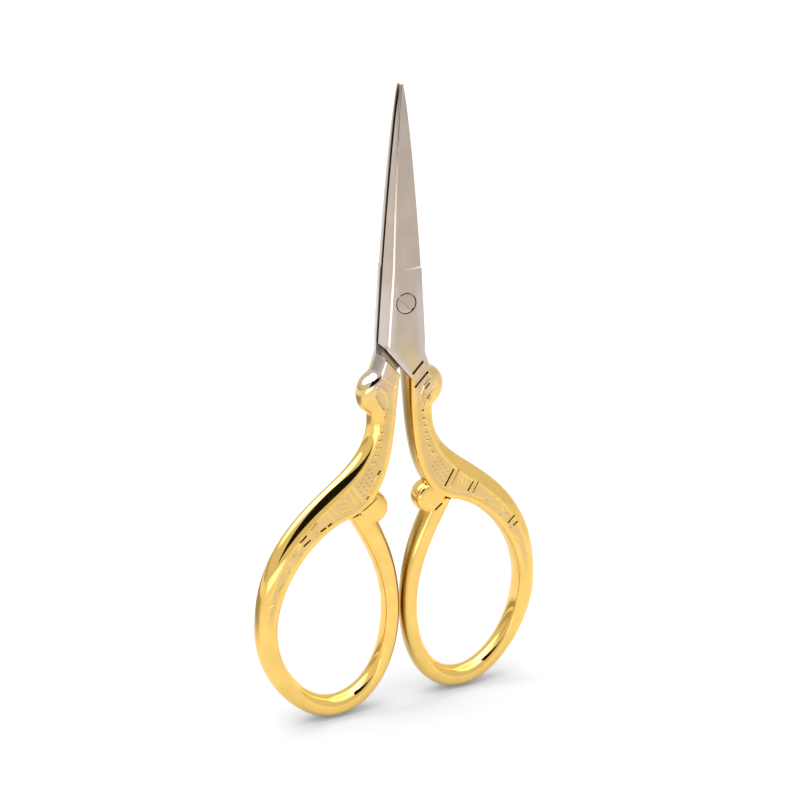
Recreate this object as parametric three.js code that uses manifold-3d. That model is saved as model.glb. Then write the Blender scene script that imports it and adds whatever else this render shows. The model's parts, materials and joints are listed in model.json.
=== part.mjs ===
// Embroidery scissors, closed and standing on their finger bows.
// Millimetres. X runs across the bows, Y through the thickness with the front at -Y, and Z goes up
// from the bottom of the bows. Each half is one forging: blade, shank and bow. The rear half is the
// front one turned half a turn about Z, and one slotted screw joins them.

import * as THREE from 'three';
import { mergeVertices } from 'three/addons/utils/BufferGeometryUtils.js';
import Module from 'manifold-3d';

const wasm = await Module();
wasm.setup();

// Main lengths
const handleLength = 62.8; // bottom of the bows to the pivot axis
const bladeLength = 29.2; // pivot axis to the tips

// Clearances
const bladeGap = 0.3; // between the two flat inner faces
const bowGap = 0.3; // between the two bows when closed
const stepGap = 0.85; // between a blade's heel and the step of the other half
const screwClearance = 0.2; // round the screw and under its head

// Finger bow
const holeWidth = 16.5;
const holeHeight = 28.5;
const apexOffset = 5.35; // point of the hole, from the hole's inner side
const widestHeight = 15.8; // level where the bow is widest
const footOffset = 10.4; // lowest point of the bow, from the middle
const legBand = 2.6; // metal on the inner side of the hole
const bowBand = 3.2; // metal on the outer side of the hole
const footBand = 3.2; // metal under the hole
const bowDepth = 3.2; // through the thickness
const legFullness = 0.59; // of the lower corners: 0.55 makes a true quarter ellipse
const bowFullness = 0.48;
const legRise = THREE.MathUtils.degToRad(60.6); // lean of the hole's inner side where it ends in the point
const legTopRise = THREE.MathUtils.degToRad(63.2); // lean of the leg's other edge there
const bowFall = THREE.MathUtils.degToRad(11.5); // fall of the hole's upper side as it leaves the point

// Shank
const shankDepth = 4.3; // through the thickness, at the neck
const haunchWidth = 5.85; // from the point of the hole to the outer edge
const haunchDepth = 3.9; // through the thickness there
const haunchSlope = THREE.MathUtils.degToRad(37); // fall of the outer edge at the haunch
const shankFall = THREE.MathUtils.degToRad(16.3); // fall of the inner edge as it reaches the hole's point
const neckInset = 0.6; // inner edge of the neck, from the middle
const neckLean = THREE.MathUtils.degToRad(3.4); // of that edge, away from the middle
const flareDrop = 10.2; // where the neck meets the knob, below the pivot
const flareReach = 4.7; // outer edge there, from the middle
const waistDrop = 16.8; // narrowest place under the knob, below the pivot
const waistReach = 4.95; // outer edge there, from the middle
const neckRound = 1.1; // rounding of the outer edge at the neck
const haunchRound = 1.6; // rounding of the outer edge at the haunch
const innerRound = 0.8; // rounding of the shank's inner edge

// How far each curved edge holds its first and its last direction, as shares of its chord
const shankOuterHold = [0.38, 0.43]; // waist to haunch
const shankInnerHold = [0.42, 0.32]; // neck to the point of the hole
const bowOuterHold = [0.39, 0.41]; // haunch to the bow's outer side
const bowInnerHold = [0.23, 0.43]; // point of the hole to its outer side
const legOuterHold = [0.4, 0.34]; // bow's inner side to the small knob
const legInnerHold = [0.34, 0.35]; // hole's inner side to its point

// Knobs: a large one on the shank's outer edge, and a small one where the leg meets the shank
const knobWidth = 5.34;
const knobHeight = 6.2;
const knobOffset = 3.9; // from the middle
const knobDrop = 13.4; // below the pivot
const knobRound = 1.5; // rounding of the knob's rim
const knobSink = 0.12; // the knob's faces lie this much below the panel
const heelKnobSize = 5;
const heelKnobInset = 3.5; // from the point of the hole, towards the middle
const heelKnobRise = 1; // above the point of the hole
const heelKnobRound = 1;

// Blade
const bladeDepth = 2.05; // through the thickness, from heel to grind
const tipDepth = 0.4;
const sideDraft = 0.6; // the sides lean in by this much at the outer face
const tipDraft = 0.08;
const edgeLand = 0.2; // blunt height left at the cutting edge
const heelDrop = 5.8; // heel corner, below the pivot
const heelSlope = THREE.MathUtils.degToRad(51); // fall of the slanting heel
const grindRise = 4.4; // where the ground face starts, above the pivot
const coveLength = 1.4; // run-out of the grinding wheel
const pointLength = 5; // last stretch, where the edges curve in
const heelSpine = 3.3; // half widths of the spine side, from the middle
const grindSpine = 2.6;
const pointSpine = 1.1;
const heelEdge = 3.5; // half widths of the cutting side, from the middle
const grindEdge = 2.85;
const pointEdge = 1.1;
const tipHalfWidth = 0.15;

// Pivot screw
const headRadius = 1.4;
const headHeight = 0.85;
const screwRadius = 1;
const slotWidth = 0.36;
const slotDepth = 0.35;
const slotTurn = THREE.MathUtils.degToRad(33); // fall of the slot towards +X

// Plating
const gold = new THREE.Color(0xe2b653);
const nickel = new THREE.Color(0xb9aca0);
const goldDrop = 13.5; // fully gold this far below the pivot
const nickelDrop = 7.5; // fully nickel down to here
const polish = 0.16; // roughness

// Facets
const quarterSteps = 4; // round each quarter of a rounded edge
const roundSides = 32; // round the screw and the knobs
const shankSteps = 18; // along each stretch of the forging
const bowSteps = 10;
const coveSteps = 5;
const sameCorner = 1e-5; // corners closer than this are one

// Direction in the XZ plane at an angle above +X.
function heading(angle) {
  return new THREE.Vector2(Math.cos(angle), Math.sin(angle));
}

// Places worked out from the sizes above
const bowLeft = bowGap / 2;
const holeLeft = bowLeft + legBand;
const holeRight = holeLeft + holeWidth;
const bowRight = holeRight + bowBand;
const apex = new THREE.Vector2(holeLeft + apexOffset, footBand + holeHeight);
const flow = heading(-haunchSlope);
const haunch = new THREE.Vector2(-flow.y, flow.x).multiplyScalar(haunchWidth).add(apex);
const waist = new THREE.Vector2(waistReach, handleLength - waistDrop);
const flare = new THREE.Vector2(flareReach, handleLength - flareDrop);
const heelHeight = handleLength - heelDrop;
const heelRun = heading(-heelSlope);
const innerFace = -bladeGap / 2;
const outerFace = innerFace - bladeDepth;

// The step faces the other half's heel across stepGap. Its height at a distance x from the middle:
function stepHeight(x) {
  const besideHeel = (x - heelSpine) * Math.tan(heelSlope);
  return heelHeight + besideHeel - stepGap / heelRun.x;
}

const neckInner = new THREE.Vector2(neckInset, stepHeight(neckInset));
const neckOuter = new THREE.Vector2(heelEdge, stepHeight(heelEdge));

// Curve that leaves one point and reaches another along unit directions.
function bend(from, fromDirection, to, toDirection, hold) {
  const chord = from.distanceTo(to);
  const leave = from.clone().addScaledVector(fromDirection, hold[0] * chord);
  const reach = to.clone().addScaledVector(toDirection, -hold[1] * chord);
  return new THREE.CubicBezierCurve(from, leave, reach, to);
}

// Quarter of the bow's lower half, level at the foot and upright at the side.
function footToSide(foot, side, fullness) {
  const besideFoot = new THREE.Vector2(foot.x + (side.x - foot.x) * fullness, foot.y);
  const besideSide = new THREE.Vector2(side.x, side.y + (foot.y - side.y) * fullness);
  return new THREE.CubicBezierCurve(foot, besideFoot, besideSide, side);
}

// Section of the forging between an outer and an inner edge point, each edge rounded to the middle plane.
function bandSection(outer, inner, halfDepth, outerRounding, innerRounding) {
  const across = new THREE.Vector2().subVectors(inner, outer);
  const width = across.length();
  across.divideScalar(width);
  const outerRadius = Math.min(outerRounding, width / 2);
  const innerRadius = Math.min(innerRounding, width / 2);
  const section = [];
  const addQuarter = (start, centre, radius) => {
    for (let step = 0; step <= quarterSteps; step++) {
      const angle = start + (step / quarterSteps) * (Math.PI / 2);
      const along = centre - radius * Math.cos(angle);
      const y = halfDepth * Math.sin(angle);
      section.push(new THREE.Vector3(outer.x + across.x * along, y, outer.y + across.y * along));
    }
  };
  addQuarter(-Math.PI / 2, outerRadius, outerRadius);
  section.pop();
  addQuarter(0, outerRadius, outerRadius);
  addQuarter(Math.PI / 2, width - innerRadius, innerRadius);
  section.pop();
  addQuarter(Math.PI, width - innerRadius, innerRadius);
  return section;
}

// Sections along a pair of edge curves, whose depth and roundings go evenly from start to end.
function bandSections(outerEdge, innerEdge, start, end, steps) {
  const sections = [];
  for (let step = 0; step <= steps; step++) {
    const along = step / steps;
    sections.push(bandSection(
      outerEdge.getPointAt(along),
      innerEdge.getPointAt(along),
      THREE.MathUtils.lerp(start.depth, end.depth, along) / 2,
      THREE.MathUtils.lerp(start.outerRound, end.outerRound, along),
      THREE.MathUtils.lerp(start.innerRound, end.innerRound, along),
    ));
  }
  return sections;
}

// Closed skin through sections that have equally many points, with a flat fan over each end.
function loft(sections) {
  const count = sections[0].length;
  const positions = sections.flatMap((section) => section.flatMap((point) => point.toArray()));
  const triangles = [];
  for (let ring = 0; ring + 1 < sections.length; ring++) {
    for (let side = 0; side < count; side++) {
      const next = (side + 1) % count;
      const here = ring * count;
      const there = here + count;
      triangles.push(here + side, there + next, here + next);
      triangles.push(here + side, there + side, there + next);
    }
  }
  const last = (sections.length - 1) * count;
  for (let side = 1; side + 1 < count; side++) {
    triangles.push(0, side, side + 1);
    triangles.push(last, last + side + 1, last + side);
  }
  const geometry = new THREE.BufferGeometry();
  geometry.setAttribute('position', new THREE.Float32BufferAttribute(positions, 3));
  geometry.setIndex(triangles);
  return geometry;
}

function toSolid(geometry) {
  const bare = geometry.clone();
  bare.deleteAttribute('normal');
  bare.deleteAttribute('uv');
  const merged = mergeVertices(bare, sameCorner);
  return new wasm.Manifold(new wasm.Mesh({
    numProp: 3,
    vertProperties: Float32Array.from(merged.attributes.position.array),
    triVerts: Uint32Array.from(merged.index.array),
  }));
}

function toGeometry(solid) {
  const mesh = solid.getMesh();
  const geometry = new THREE.BufferGeometry();
  geometry.setAttribute('position', new THREE.Float32BufferAttribute(mesh.vertProperties, 3));
  geometry.setIndex(Array.from(mesh.triVerts));
  geometry.computeVertexNormals();
  return geometry;
}

// Oval disc on a Y axis with its rim rounded to the middle plane.
function knob(width, height, depth, rimRound, x, z) {
  const radius = height / 2;
  const rounding = Math.min(rimRound, radius);
  const profile = [new THREE.Vector2(0, -depth / 2)];
  for (let step = 0; step <= 2 * quarterSteps; step++) {
    const angle = (step / quarterSteps - 1) * (Math.PI / 2);
    const out = radius - rounding + rounding * Math.cos(angle);
    profile.push(new THREE.Vector2(out, (depth / 2) * Math.sin(angle)));
  }
  profile.push(new THREE.Vector2(0, depth / 2));
  const disc = new THREE.LatheGeometry(profile, roundSides);
  return toSolid(disc.scale(width / height, 1, 1).translate(x, 0, z));
}

// Shank, bow and leg as two lofts that share the section at the foot, and the two knobs.
function handle() {
  const side = (x) => new THREE.Vector2(x, widestHeight);
  const up = new THREE.Vector2(0, 1);
  const down = new THREE.Vector2(0, -1);
  const outerNeck = new THREE.CurvePath();
  outerNeck.add(new THREE.LineCurve(neckOuter, flare));
  outerNeck.add(new THREE.LineCurve(flare, waist));
  outerNeck.add(bend(waist, down, haunch, flow, shankOuterHold));
  const downNeck = heading(neckLean - Math.PI / 2);
  const innerNeck = bend(neckInner, downNeck, apex, heading(-shankFall), shankInnerHold);
  const outerBow = bend(haunch, flow, side(bowRight), down, bowOuterHold);
  const innerBow = bend(apex, heading(-bowFall), side(holeRight), down, bowInnerHold);

  const outerFoot = new THREE.Vector2(footOffset, 0);
  const innerFoot = new THREE.Vector2(footOffset, footBand);
  const legTop = new THREE.Vector2(apex.x - heelKnobInset, apex.y + heelKnobRise);
  const outerLeg = bend(side(bowLeft), up, legTop, heading(legTopRise), legOuterHold);
  const innerLeg = bend(side(holeLeft), up, apex, heading(legRise), legInnerHold);

  const neck = { depth: shankDepth, outerRound: neckRound, innerRound };
  const middle = { depth: haunchDepth, outerRound: haunchRound, innerRound };
  const bow = { depth: bowDepth, outerRound: bowBand / 2, innerRound: bowBand / 2 };
  const leg = { depth: bowDepth, outerRound: legBand / 2, innerRound: legBand / 2 };

  const neckSections = bandSections(outerNeck, innerNeck, neck, middle, shankSteps);
  const bowSections = bandSections(outerBow, innerBow, middle, bow, bowSteps);
  const outerCorner = bandSections(
    footToSide(outerFoot, side(bowRight), bowFullness),
    footToSide(innerFoot, side(holeRight), bowFullness),
    bow, bow, bowSteps,
  ).reverse();
  const legCorner = bandSections(
    footToSide(outerFoot, side(bowLeft), legFullness),
    footToSide(innerFoot, side(holeLeft), legFullness),
    bow, leg, bowSteps,
  );
  const legSections = bandSections(outerLeg, innerLeg, leg, leg, bowSteps);

  const shankAndBow = loft([...neckSections, ...bowSections.slice(1), ...outerCorner.slice(1)]);
  const footAndLeg = loft([...legCorner, ...legSections.slice(1)]);
  const knobDepth = shankDepth - 2 * knobSink;
  const knobRise = handleLength - knobDrop;
  const shankKnob = knob(knobWidth, knobHeight, knobDepth, knobRound, knobOffset, knobRise);
  const heelKnob = knob(heelKnobSize, heelKnobSize, bowDepth, heelKnobRound, legTop.x, legTop.y);
  return toSolid(shankAndBow).add(toSolid(footAndLeg)).add(shankKnob).add(heelKnob);
}

// One level section of the blade: spine foot, spine crest, face corner and cutting edge.
function bladeSection(z, spine, edge, depth, draft, faceX, faceDepth) {
  return [
    new THREE.Vector3(-spine, innerFace, z),
    new THREE.Vector3(edge, innerFace, z),
    new THREE.Vector3(faceX, innerFace - faceDepth, z),
    new THREE.Vector3(draft - spine, innerFace - depth, z),
  ];
}

// Blade with a flat inner face. The ricasso round the screw keeps its full depth; above it the outer face
// is ground from the spine's crest down to the cutting edge, starting in a cove left by the wheel.
function blade() {
  const grindHeight = handleLength + grindRise;
  const tipHeight = handleLength + bladeLength;
  const pointHeight = tipHeight - pointLength;
  const tang = waist.y + knobHeight / 2;
  const pointShare = (pointHeight - grindHeight) / (tipHeight - grindHeight);
  const pointDepth = THREE.MathUtils.lerp(bladeDepth, tipDepth, pointShare);
  const pointDraft = THREE.MathUtils.lerp(sideDraft, tipDraft, pointShare);

  const sections = [
    bladeSection(tang, heelSpine, heelEdge, bladeDepth, sideDraft, heelEdge - sideDraft, bladeDepth),
    bladeSection(heelHeight, heelSpine, heelEdge, bladeDepth, sideDraft, heelEdge - sideDraft, bladeDepth),
  ];
  for (let step = 0; step <= coveSteps; step++) {
    const turn = (step / coveSteps) * (Math.PI / 2);
    const rise = coveLength * (1 - Math.cos(turn));
    const lost = Math.sin(turn);
    const share = rise / (pointHeight - grindHeight);
    const edge = THREE.MathUtils.lerp(grindEdge, pointEdge, share);
    sections.push(bladeSection(
      grindHeight + rise,
      THREE.MathUtils.lerp(grindSpine, pointSpine, share),
      edge,
      THREE.MathUtils.lerp(bladeDepth, pointDepth, share),
      THREE.MathUtils.lerp(sideDraft, pointDraft, share),
      edge - sideDraft * (1 - lost),
      THREE.MathUtils.lerp(bladeDepth, edgeLand, lost),
    ));
  }
  sections.push(
    bladeSection(pointHeight, pointSpine, pointEdge, pointDepth, pointDraft, pointEdge, edgeLand),
    bladeSection(tipHeight, tipHalfWidth, tipHalfWidth, tipDepth, tipDraft, tipHalfWidth, edgeLand),
  );

  const pastBlade = 2 * (heelSpine + heelEdge);
  const corner = new THREE.Vector2(-heelSpine, heelHeight);
  const below = corner.clone().addScaledVector(heelRun, pastBlade);
  const above = corner.clone().addScaledVector(heelRun, -pastBlade);
  const offHeel = new THREE.Shape([below, above, new THREE.Vector2(above.x, below.y)]);
  const cutter = new THREE.ExtrudeGeometry(offHeel, { depth: 2 * shankDepth, bevelEnabled: false });
  cutter.rotateX(Math.PI / 2).translate(0, shankDepth, 0);
  return toSolid(loft(sections)).subtract(toSolid(cutter));
}

// Round bar on the pivot axis, between two depths.
function pivotBar(radius, fromY, toY) {
  const bar = new THREE.CylinderGeometry(radius, radius, toY - fromY, roundSides);
  return toSolid(bar.translate(0, (fromY + toY) / 2, handleLength));
}

const forging = handle().add(blade());
const past = shankDepth;

// The front half turns on the screw, whose head lies in a flat-bottomed recess.
function frontHalf() {
  const seat = outerFace + headHeight + screwClearance;
  const recess = pivotBar(headRadius + screwClearance, -past, seat);
  const bore = pivotBar(screwRadius + screwClearance, -past, past);
  return toGeometry(forging.subtract(recess).subtract(bore));
}

// The rear half holds the screw in a plain hole, where the thread is.
function rearHalf() {
  return toGeometry(forging.subtract(pivotBar(screwRadius + screwClearance, -past, past)));
}

// Slotted screw, flush with both outer faces.
function pivotScrew() {
  const head = pivotBar(headRadius, outerFace, outerFace + headHeight);
  const shaft = pivotBar(screwRadius, outerFace, -outerFace);
  const pastHead = 4 * headRadius;
  const slot = new THREE.BoxGeometry(pastHead, 2 * slotDepth, slotWidth);
  slot.rotateY(slotTurn).translate(0, outerFace, handleLength);
  return toGeometry(head.add(shaft).subtract(toSolid(slot)));
}

// Nickel blade that fades into the gold of the handle, as a colour at each corner.
function plated(geometry) {
  const position = geometry.attributes.position;
  const colours = [];
  for (let corner = 0; corner < position.count; corner++) {
    const drop = handleLength - position.getZ(corner);
    const share = THREE.MathUtils.smoothstep(drop, nickelDrop, goldDrop);
    colours.push(...nickel.clone().lerp(gold, share).toArray());
  }
  geometry.setAttribute('color', new THREE.Float32BufferAttribute(colours, 3));
  return geometry;
}

function polished(colour, vertexColors) {
  return new THREE.MeshStandardMaterial({ color: colour, metalness: 1, roughness: polish, vertexColors });
}

function piece(name, geometry, material) {
  const mesh = new THREE.Mesh(geometry, material);
  mesh.name = name;
  return mesh;
}

const scissors = new THREE.Group();
const front = piece('front_half', plated(frontHalf()), polished(0xffffff, true));
const rear = piece('rear_half', plated(rearHalf()), polished(0xffffff, true));
rear.rotation.z = Math.PI;
scissors.add(front, rear, piece('pivot_screw', pivotScrew(), polished(nickel, false)));

export default scissors;
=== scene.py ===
import json
import math

import bpy
import numpy as np
from mathutils import Matrix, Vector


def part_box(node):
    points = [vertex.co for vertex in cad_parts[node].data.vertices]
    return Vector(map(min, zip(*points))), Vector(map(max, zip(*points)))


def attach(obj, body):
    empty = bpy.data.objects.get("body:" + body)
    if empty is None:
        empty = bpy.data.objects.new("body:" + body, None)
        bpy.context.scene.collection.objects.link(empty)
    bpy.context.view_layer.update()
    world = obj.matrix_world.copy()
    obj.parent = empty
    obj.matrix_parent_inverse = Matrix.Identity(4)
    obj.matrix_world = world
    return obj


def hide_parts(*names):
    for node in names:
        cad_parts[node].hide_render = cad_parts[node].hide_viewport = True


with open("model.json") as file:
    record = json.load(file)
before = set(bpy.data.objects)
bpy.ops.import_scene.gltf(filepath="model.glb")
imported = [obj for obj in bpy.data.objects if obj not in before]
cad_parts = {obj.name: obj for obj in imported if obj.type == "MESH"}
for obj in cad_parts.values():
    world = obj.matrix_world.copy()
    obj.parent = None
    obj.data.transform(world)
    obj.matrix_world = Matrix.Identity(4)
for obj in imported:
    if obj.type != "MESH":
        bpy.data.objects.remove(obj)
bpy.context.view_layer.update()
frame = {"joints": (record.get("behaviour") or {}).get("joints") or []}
mm = 0.001  # shapes are worked out in millimetres and put into the meshes in metres
scene = bpy.context.scene

# places that the frame gives
frontLow, frontHigh = (np.array(corner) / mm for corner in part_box("front_half"))
screwHigh = np.array(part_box("pivot_screw")[1]) / mm
pivotHeight = frame["joints"][0]["pos_m"][2] / mm
tipHeight = frontHigh[2]
outerFace = frontLow[1]  # front face round the screw
headRadius = screwHigh[0]
print("frame: pivot at", round(pivotHeight, 2), "mm, tip at", round(tipHeight, 2), "mm")


def heading(angle):
    # unit direction in the XZ plane, in degrees above +X
    turn = math.radians(angle)
    return np.array([math.cos(turn), math.sin(turn)])


def smooth(value, start, end):
    # 0 before start, 1 after end, and an S curve between them
    share = np.clip((value - start) / (end - start), 0, 1)
    return share * share * (3 - 2 * share)


def bezier(points):
    # cubic through four control points at even parameters
    t = np.linspace(0, 1, 401)[:, None]
    a, b, c, d = (np.asarray(point, float) for point in points)
    return (1 - t) ** 3 * a + 3 * t * (1 - t) ** 2 * b + 3 * t * t * (1 - t) * c + t ** 3 * d


def bend(start, startWay, end, endWay, hold):
    # cubic that leaves start and reaches end along the two directions, held for shares of the chord
    chord = np.linalg.norm(end - start)
    return bezier([start, start + startWay * hold[0] * chord, end - endWay * hold[1] * chord, end])


def footToSide(foot, side, fullness):
    # quarter of the bow's lower half, level at the foot and upright at the side
    besideFoot = np.array([foot[0] + (side[0] - foot[0]) * fullness, foot[1]])
    besideSide = np.array([side[0], side[1] + (foot[1] - side[1]) * fullness])
    return bezier([foot, besideFoot, besideSide, side])


def lengths(line):
    # distance along a polyline, from its first point
    return np.concatenate([[0], np.cumsum(np.linalg.norm(np.diff(line, axis=0), axis=1))])


def resample(line, places):
    # points of a polyline at given distances along it
    run = lengths(line)
    return np.stack([np.interp(places, run, line[:, 0]), np.interp(places, run, line[:, 1])], 1)


def runAt(line, levels):
    # distances along a falling polyline at which it passes given heights
    return np.interp(-np.asarray(levels), -line[:, 1], lengths(line))


def soften(line, reach):
    # polyline at even steps, averaged with a bell curve along itself so that corners become fillets
    step = 0.02
    even = resample(line, np.arange(0, lengths(line)[-1], step))
    half = int(4 * reach / step)  # past this the bell is next to nothing
    bell = np.exp(-0.5 * (np.arange(-half, half + 1) * step / reach) ** 2)
    bell /= bell.sum()
    padded = np.pad(even, ((half, half), (0, 0)), mode="reflect", reflect_type="odd")
    return np.stack([np.convolve(padded[:, axis], bell, "valid") for axis in (0, 1)], 1)


def tubeFaces(rings, count):
    # quads between rings of a closed loop, then a fan over each end round a middle point
    ring, side = np.meshgrid(np.arange(rings - 1), np.arange(count), indexing="ij")
    here = ring * count + side
    beside = ring * count + (side + 1) % count
    quads = np.stack([here, beside, beside + count, here + count], -1).reshape(-1, 4)
    loop = np.arange(count)
    following = (loop + 1) % count
    last = (rings - 1) * count
    middle = np.full(count, rings * count)
    startFan = np.stack([middle, following, loop], 1)
    endFan = np.stack([middle + 1, last + loop, last + following], 1)
    return quads.tolist() + startFan.tolist() + endFan.tolist()


def signedVolume(mesh):
    # sum of the tetrahedra between the origin and each triangle, positive when faces point outwards
    mesh.calc_loop_triangles()
    corners = np.empty(len(mesh.loop_triangles) * 3, np.int32)
    mesh.loop_triangles.foreach_get("vertices", corners)
    places = np.empty(len(mesh.vertices) * 3, np.float32)
    mesh.vertices.foreach_get("co", places)
    a, b, c = places.reshape(-1, 3)[corners.reshape(-1, 3)].transpose(1, 0, 2).astype(float)
    return float(np.einsum("ij,ij->i", a, np.cross(b, c)).sum() / 6)


# paintedShade is painted shade on walls, steps and inner faces where shade falls between the parts
masks = ("satin", "cut", "paintedShade", "rim")  # values that a mesh keeps at its points for the materials


def tube(name, points, marks=None):
    # closed skin over a grid of points, rings by sides, with the masks' values at its points
    rings, count = points.shape[:2]
    middles = points[[0, -1]].mean(1)
    places = np.concatenate([points.reshape(-1, 3), middles]) * mm
    mesh = bpy.data.meshes.new(name)
    mesh.from_pydata(places.tolist(), [], tubeFaces(rings, count))
    if marks is not None:
        values = np.concatenate([marks.reshape(-1, len(masks)), marks[[0, -1]].mean(1)]).astype(np.float32)
        for index, mask in enumerate(masks):
            column = np.ascontiguousarray(values[:, index])
            mesh.attributes.new(mask, "FLOAT", "POINT").data.foreach_set("value", column)
    mesh.update()
    if signedVolume(mesh) < 0:
        mesh.flip_normals()
    piece = bpy.data.objects.new(name, mesh)
    scene.collection.objects.link(piece)
    return piece


def fuse(piece, other, operation):
    # joins a closed piece with another or cuts it with it; the other one is used up
    cut = piece.modifiers.new("fuse", "BOOLEAN")
    cut.operation = operation
    cut.solver = "MANIFOLD"
    cut.object = other
    bpy.context.view_layer.update()
    made = piece.evaluated_get(bpy.context.evaluated_depsgraph_get())
    result = bpy.data.meshes.new_from_object(made)
    piece.modifiers.clear()
    piece.data = result
    bpy.data.objects.remove(other)
    return piece


# heel: the blade's slanting foot, and the other half's step that closes on it
heel = {"drop": 5.8, "slope": 51, "spine": 3.3, "edge": 3.5, "stepGap": 0.85}
heelHeight = pivotHeight - heel["drop"]
heelSlope = math.radians(heel["slope"])


def heelAt(x):
    # height of the slanting heel at x, which falls from the spine to the cutting side
    return heelHeight - (x + heel["spine"]) * math.tan(heelSlope)


def stepAt(x):
    # height of the step at x: the other half's heel, turned about, less a gap measured square to it
    return heelAt(-x) - heel["stepGap"] / math.cos(heelSlope)


# handle: shank, finger bow and leg, one band between an outer and an inner edge
handle = {
    "bowGap": 0.3,  # between the two bows when closed
    "holeWidth": 16.5, "holeHeight": 28.5,
    "apexOffset": 5.35,  # point of the hole, from its inner side
    "widestHeight": 15.8, "footOffset": 10.4,
    "legBand": 2.6, "bowBand": 3.2, "footBand": 3.2,
    "legFullness": 0.59, "bowFullness": 0.48, "haunchWidth": 5.85,
    "neckInset": 0.6, "neckReach": 3.3, "flareDrop": 9.9, "flareReach": 4.4,
    "waistDrop": 16.8, "waistReach": 4.95,
    "knobWidth": 5.34, "knobHeight": 6.2, "knobOffset": 3.9, "knobDrop": 13,
    "knobRim": (72, -67),  # degrees round it between its two corners
    "knobLag": (2.2, 0.8),  # how much lower the inner edge is matched with its top and its foot
    "cornerSoftness": 0.3,  # fillets beside the knob
    "neckSink": 0.01, "knobDepth": 3.6, "waistDepth": 3.3, "bowDepth": 3.2,
    "neckRound": 0.9, "knobRound": 2.3, "waistRound": 1.1, "haunchRound": 1.75, "sideRound": 1.35,
    "innerRound": 0.55, "leastPanel": 0.3,  # flat left between the two roundings
    "turns": (90, 90, 60, 36, 75, 90, 90, 90),  # degrees of the outer rounding; under 90 it leaves a crease
    "wallLevels": (0.97, 0.6), "wallShade": 0.4,  # painted shade on the walls that face the other handle
    "lobeSize": 5, "lobeInset": 3.5, "lobeRise": 1,
    "lobeFullness": 0.25, "lobeSides": 96, "lobeRings": 25,  # power of the profile's cosine, and its grid
}
# degrees above +X at the ends of the edges' curves, and the shares of the chord that they are held for
curves = {
    "haunchWay": -37, "shankHold": (0.38, 0.43), "bowHold": (0.39, 0.41),
    "neckWay": -86.6, "apexWay": -16.3, "neckHold": (0.42, 0.32),
    "holeWay": -11.5, "holeHold": (0.23, 0.43),
    "legWay": 63.2, "legHold": (0.4, 0.34), "innerLegWay": 60.6, "innerLegHold": (0.34, 0.35),
}
columns = {"neck": 240, "bow": 170, "corner": 56, "legCorner": 56, "leg": 60}  # along each stretch
neckShares = (0.38, 0.24, 0.38)  # of the neck's columns, between its end, knob, waist and haunch
stepColumns = 24  # over which the sections turn from the step to square across the neck
around = {"outer": 14, "panel": 46, "inner": 10}  # points across half a section
panelShare = np.linspace(0, 1, around["panel"])[1:-1]
panelSides = slice(around["outer"], around["outer"] + len(panelShare))

knobPlace = np.array([handle["knobOffset"], pivotHeight - handle["knobDrop"]])
bowLeft = handle["bowGap"] / 2
holeLeft = bowLeft + handle["legBand"]
holeRight = holeLeft + handle["holeWidth"]
bowRight = holeRight + handle["bowBand"]
apex = np.array([holeLeft + handle["apexOffset"], handle["footBand"] + handle["holeHeight"]])
lobePlace = apex + np.array([-handle["lobeInset"], handle["lobeRise"]])


def handleEdges():
    # outer and inner edge lines of each stretch, from the neck round the bow to the top of the leg
    h = handle
    c = curves
    up, down, flow = heading(90), heading(-90), heading(c["haunchWay"])
    haunch = apex + h["haunchWidth"] * np.array([-flow[1], flow[0]])
    waist = np.array([h["waistReach"], pivotHeight - h["waistDrop"]])
    flare = np.array([h["flareReach"], pivotHeight - h["flareDrop"]])
    neckInner, neckOuter = (np.array([x, stepAt(x)]) for x in (h["neckInset"], h["neckReach"]))
    turn = np.radians(np.linspace(*h["knobRim"], 60))[:, None]
    rim = knobPlace + np.hstack([h["knobWidth"] / 2 * np.cos(turn), h["knobHeight"] / 2 * np.sin(turn)])
    shank = bend(waist, down, haunch, flow, c["shankHold"])
    outerNeck = soften(np.concatenate([[neckOuter], [flare], rim, shank]), h["cornerSoftness"])
    innerNeck = bend(neckInner, heading(c["neckWay"]), apex, heading(c["apexWay"]), c["neckHold"])
    outerSide, innerSide = (np.array([x, h["widestHeight"]]) for x in (bowRight, holeRight))
    outerLeg, innerLeg = (np.array([x, h["widestHeight"]]) for x in (bowLeft, holeLeft))
    foot, innerFoot = (np.array([h["footOffset"], z]) for z in (0, h["footBand"]))
    return {
        "neck": (outerNeck, innerNeck),
        "bow": (bend(haunch, flow, outerSide, down, c["bowHold"]),
                bend(apex, heading(c["holeWay"]), innerSide, down, c["holeHold"])),
        "corner": (footToSide(foot, outerSide, h["bowFullness"])[::-1],
                   footToSide(innerFoot, innerSide, h["bowFullness"])[::-1]),
        "legCorner": (footToSide(foot, outerLeg, h["legFullness"]),
                      footToSide(innerFoot, innerLeg, h["legFullness"])),
        "leg": (bend(outerLeg, up, lobePlace, heading(c["legWay"]), c["legHold"]),
                bend(innerLeg, up, apex, heading(c["innerLegWay"]), c["innerLegHold"])),
    }


def handleColumns():
    # both edges at matching columns; beside the knob they are matched by height, since its rim is longer
    outer, inner = [], []
    knobEnds = knobPlace[1] + 0.5 * handle["knobHeight"] * np.array([1, -1])
    innerEnds = knobEnds - handle["knobLag"]
    for name, (outerLine, innerLine) in handleEdges().items():
        share = np.linspace(0, 1, columns[name] + 1)[1 if outer else 0:]
        places = share * lengths(outerLine)[-1]
        innerPlaces = share * lengths(innerLine)[-1]
        if name == "neck":
            marks = runAt(outerLine, [outerLine[0, 1], *knobEnds, outerLine[-1, 1]])
            innerMarks = runAt(innerLine, [innerLine[0, 1], *innerEnds, innerLine[-1, 1]])
            innerPlaces = np.interp(places, marks, innerMarks)
        outer.append(resample(outerLine, places))
        inner.append(resample(innerLine, innerPlaces))
    return np.concatenate(outer), np.concatenate(inner)


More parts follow.
